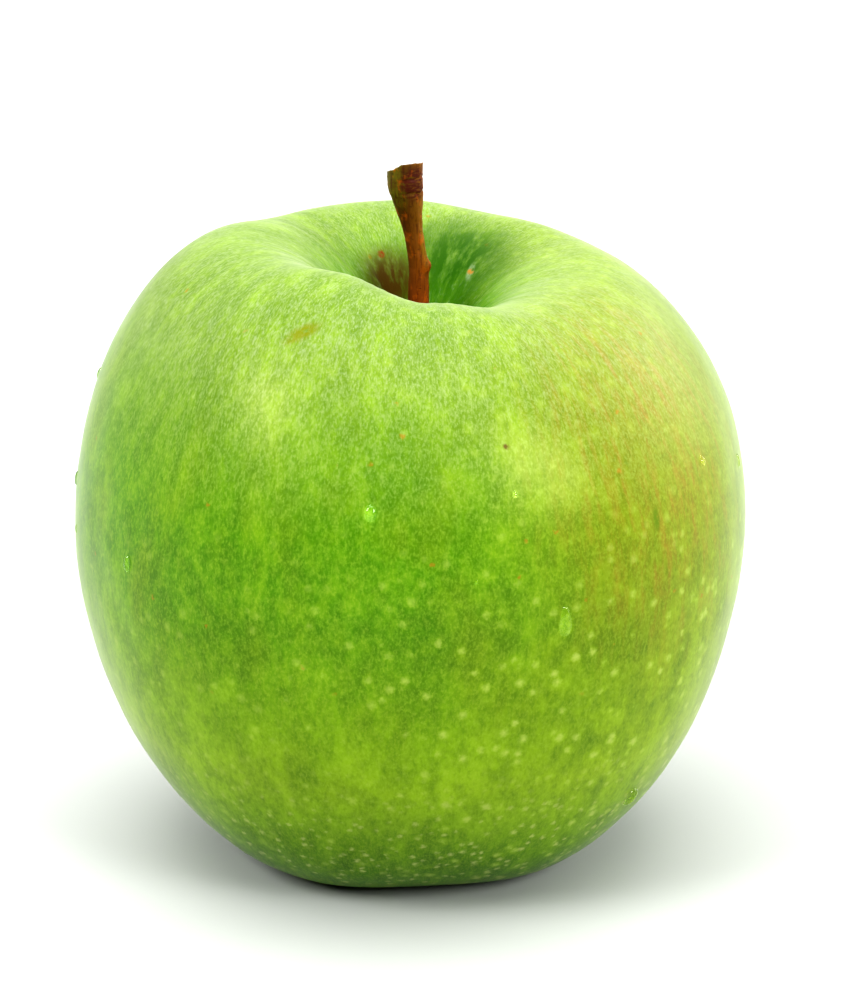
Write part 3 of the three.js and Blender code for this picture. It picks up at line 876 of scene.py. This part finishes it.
# %% Stem material
def stem_material():
    tree, place = new_material(stem, "apple twig bark")
    height = add_node(tree, "SeparateXYZ", {"Vector": place}, "Z")
    fibres = grain_noise(tree, place, 0.2, 2.6, 3.0)
    cork = grain_noise(tree, place, 0.7, 0.25, 3.0, 9)
    blotches = grain_noise(tree, place, 0.9, 1.3, 3.0, 5)
    upper = add_node(tree, "MapRange", {"Value": height, "From Min": 62, "From Max": 74})
    bark = add_node(tree, "Mix", {SHARE: upper, UNDER: LOWER_BARK, OVER: UPPER_BARK}, BLEND, data_type="RGBA")
    sideways = add_node(tree, "SeparateXYZ", {"Vector": place}, "X")
    # Painted shade: the bark darkens towards its left side
    painted_shade = add_node(tree, "MapRange", {
        "Value": sideways, "From Min": 1.1, "From Max": -0.6, "To Max": 0.75})
    bark = add_node(tree, "Mix", {SHARE: painted_shade, UNDER: bark, OVER: PAINTED_SHADE_BARK}, BLEND, data_type="RGBA")
    for centre, core, edge, stretch, broken, colour in (
        (OLIVE_PLACE, 1.0, 3.4, (1, 1, 1.4), blotches, OLIVE_BARK),
        # Painted highlight up the right side of the stem
        (HIGHLIGHT_PLACE, 0.2, 1.2, (0.7, 1, 4.5), fibres, PAINTED_HIGHLIGHT_YELLOW),
        (CORK_PLACE, 1.2, 2.6, (0.9, 1, 1), cork, CORK_RED),
    ):
        mask = patch(tree, place, centre, core, edge, stretch)
        rough = add_node(tree, "MapRange", {"Value": broken, "From Min": 0.3, "From Max": 0.52})
        mask = add_node(tree, "Math", {0: mask, 1: rough}, operation="MULTIPLY")
        bark = add_node(tree, "Mix", {SHARE: mask, UNDER: bark, OVER: colour}, BLEND, data_type="RGBA")
    for pattern, low, high, colour in (
        (fibres, 0.5, 0.66, FIBRE_BROWN),
        (blotches, 0.55, 0.7, BLOTCH_ORANGE),
        (cork, 0.62, 0.72, CRUMB_BROWN),
    ):
        mask = add_node(tree, "MapRange", {
            "Value": pattern, "From Min": low, "From Max": high, "To Max": 0.6})
        bark = add_node(tree, "Mix", {SHARE: mask, UNDER: bark, OVER: colour}, BLEND, data_type="RGBA")
    shader = add_node(tree, "BsdfPrincipled", {
        "Base Color": bark, "Roughness": 0.5, "Specular IOR Level": 0.14})
    add_node(tree, "OutputMaterial", {"Surface": shader})
    return len(tree.nodes)


print("the stem's bark has", stem_material(), "nodes")

# %% [markdown]
# ## Finish of the calyx
# The sepals have dried to a felt-like grey-brown with paler, hairy edges. They are matt, so the roughness
# is high and there is hardly any gloss. A bump gives them the nap of felt.

# %% Calyx material
SEPAL_BROWN = srgb("#5A4A30")
SEPAL_STRAW = srgb("#9A8A62")
HAIR_GREY = srgb("#C0B494")
NAP_DEPTH = 0.15


def calyx_material():
    tree, place = new_material(calyx, "dried sepal")
    felt = grain_noise(tree, place, 0.25, 0.25, 3.0)
    patches = grain_noise(tree, place, 1.4, 1.4, 2.0, 4)
    light = add_node(tree, "MapRange", {"Value": patches, "From Min": 0.35, "From Max": 0.65})
    dry = add_node(
        tree, "Mix", {SHARE: light, UNDER: SEPAL_BROWN, OVER: SEPAL_STRAW}, BLEND, data_type="RGBA")
    hairs = add_node(tree, "MapRange", {"Value": felt, "From Min": 0.5, "From Max": 0.72, "To Max": 0.7})
    dry = add_node(tree, "Mix", {SHARE: hairs, UNDER: dry, OVER: HAIR_GREY}, BLEND, data_type="RGBA")
    nap = add_node(tree, "Bump", {"Height": felt, "Strength": 0.5, "Distance": NAP_DEPTH * MM})
    shader = add_node(tree, "BsdfPrincipled", {
        "Base Color": dry, "Roughness": 0.9, "Specular IOR Level": 0.15, "Normal": nap})
    add_node(tree, "OutputMaterial", {"Surface": shader})
    return len(tree.nodes)


print("the dried sepals have", calyx_material(), "nodes")

# %% [markdown]
# ## Finish of the drops
# Water is clear and perfectly smooth, with an index of refraction of 1.33. The shader does the rest: each
# drop bends the green behind it and catches a point of light from the soft boxes.

# %% Water material
WATER_IOR = 1.333


def water_material():
    tree, _ = new_material(drops, "clear water")
    shader = add_node(tree, "BsdfPrincipled", {
        "Base Color": srgb("#FFFFFF"), "Roughness": 0.0, "IOR": WATER_IOR, "Transmission Weight": 1.0})
    add_node(tree, "OutputMaterial", {"Surface": shader})
    return len(tree.nodes)


print("the water has", water_material(), "nodes")

# %% [markdown]
# ## Table and light
# The photo is a high-key studio picture: a white table, white surroundings, and light from soft boxes. One
# on either side in front leaves two broad glows on the skin, with a deeper green band between them. A large
# one above lights the shoulders, and a weak one low on the right fills that flank. The bright surroundings
# behind and beside the apple give its outline the pale rim. The table is a pale grey that the light lifts
# just to white, so the soft shadow under the apple still shows.

# %% Table
TABLE_REACH = 3


def make_table():
    bm = bmesh.new()
    bmesh.ops.create_grid(bm, x_segments=1, y_segments=1, size=TABLE_REACH)
    mesh = bpy.data.meshes.new("table")
    bm.to_mesh(mesh)
    bm.free()
    table = bpy.data.objects.new("table", mesh)
    bpy.context.collection.objects.link(table)
    tree, _ = new_material(table, "white table top")
    shader = add_node(tree, "BsdfPrincipled", {"Base Color": srgb("#ADAFAD"), "Roughness": 0.8})
    add_node(tree, "OutputMaterial", {"Surface": shader})
    return table


print("the table's sides in metres:", [round(side, 1) for side in make_table().dimensions[:2]])

# %% Soft boxes
SOFT_BOXES = (  # name, azimuth and elevation in degrees, side in metres, power in watts
    ("soft box left", -57, 36, 0.38, 7.2),
    ("soft box right", 46, 28, 0.38, 7.0),
    ("soft box above", 0, 82, 1.0, 11),
    ("soft box beside right", 110, 10, 1.0, 4.5),
)


def soft_box(name, azimuth, elevation, size, power):
    """A square area light a metre away that faces the apple. Azimuth 0 is the camera's side, + is right."""
    light = bpy.data.objects.new(name, bpy.data.lights.new(name, "AREA"))
    light.data.shape = "SQUARE"
    light.data.size = size
    light.data.energy = power
    a, e = math.radians(azimuth), math.radians(elevation)
    away = Vector((math.sin(a) * math.cos(e), -math.cos(a) * math.cos(e), math.sin(e)))
    light.location = CAMERA_TARGET + away
    light.rotation_mode = "QUATERNION"
    light.rotation_quaternion = away.to_track_quat("Z", "Y")
    bpy.context.collection.objects.link(light)


for box in SOFT_BOXES:
    soft_box(*box)
print("soft boxes:", len(SOFT_BOXES), "with", sum(box[-1] for box in SOFT_BOXES), "watts in all")


# %% Surroundings
def light_surroundings(front, back):
    """A world that is white behind and beside the apple and dark on the camera's side."""
    world = bpy.data.worlds.new("studio")
    bpy.context.scene.world = world
    world.use_nodes = True
    tree = world.node_tree
    tree.nodes.clear()
    direction = add_node(tree, "TexCoord", {}, "Generated")
    depth = add_node(tree, "SeparateXYZ", {"Vector": direction}, "Y")
    strength = add_node(tree, "MapRange", {
        "Value": depth, "From Min": -0.4, "From Max": 0.6, "To Min": front, "To Max": back})
    rise = add_node(tree, "SeparateXYZ", {"Vector": direction}, "Z")
    dusk = add_node(tree, "MapRange", {"Value": rise, "From Min": 0, "From Max": 0.35, "To Min": 0.25})
    strength = add_node(tree, "Math", {0: strength, 1: dusk}, operation="MULTIPLY")
    background = add_node(tree, "Background", {"Color": srgb("#FFFFFF"), "Strength": strength})
    add_node(tree, "OutputWorld", {"Surface": background})


light_surroundings(front=0.02, back=1.8)

# %% [markdown]
# ## View
# The photo has deep darks and bright whites, as such pictures have after they are edited. The plain Standard
# view keeps the colours as they are, and its High Contrast look comes near that tone.

# %% View
view = bpy.context.scene.view_settings
view.view_transform = "Standard"
view.look = "High Contrast"
print("view:", view.view_transform, "with the look", view.look)
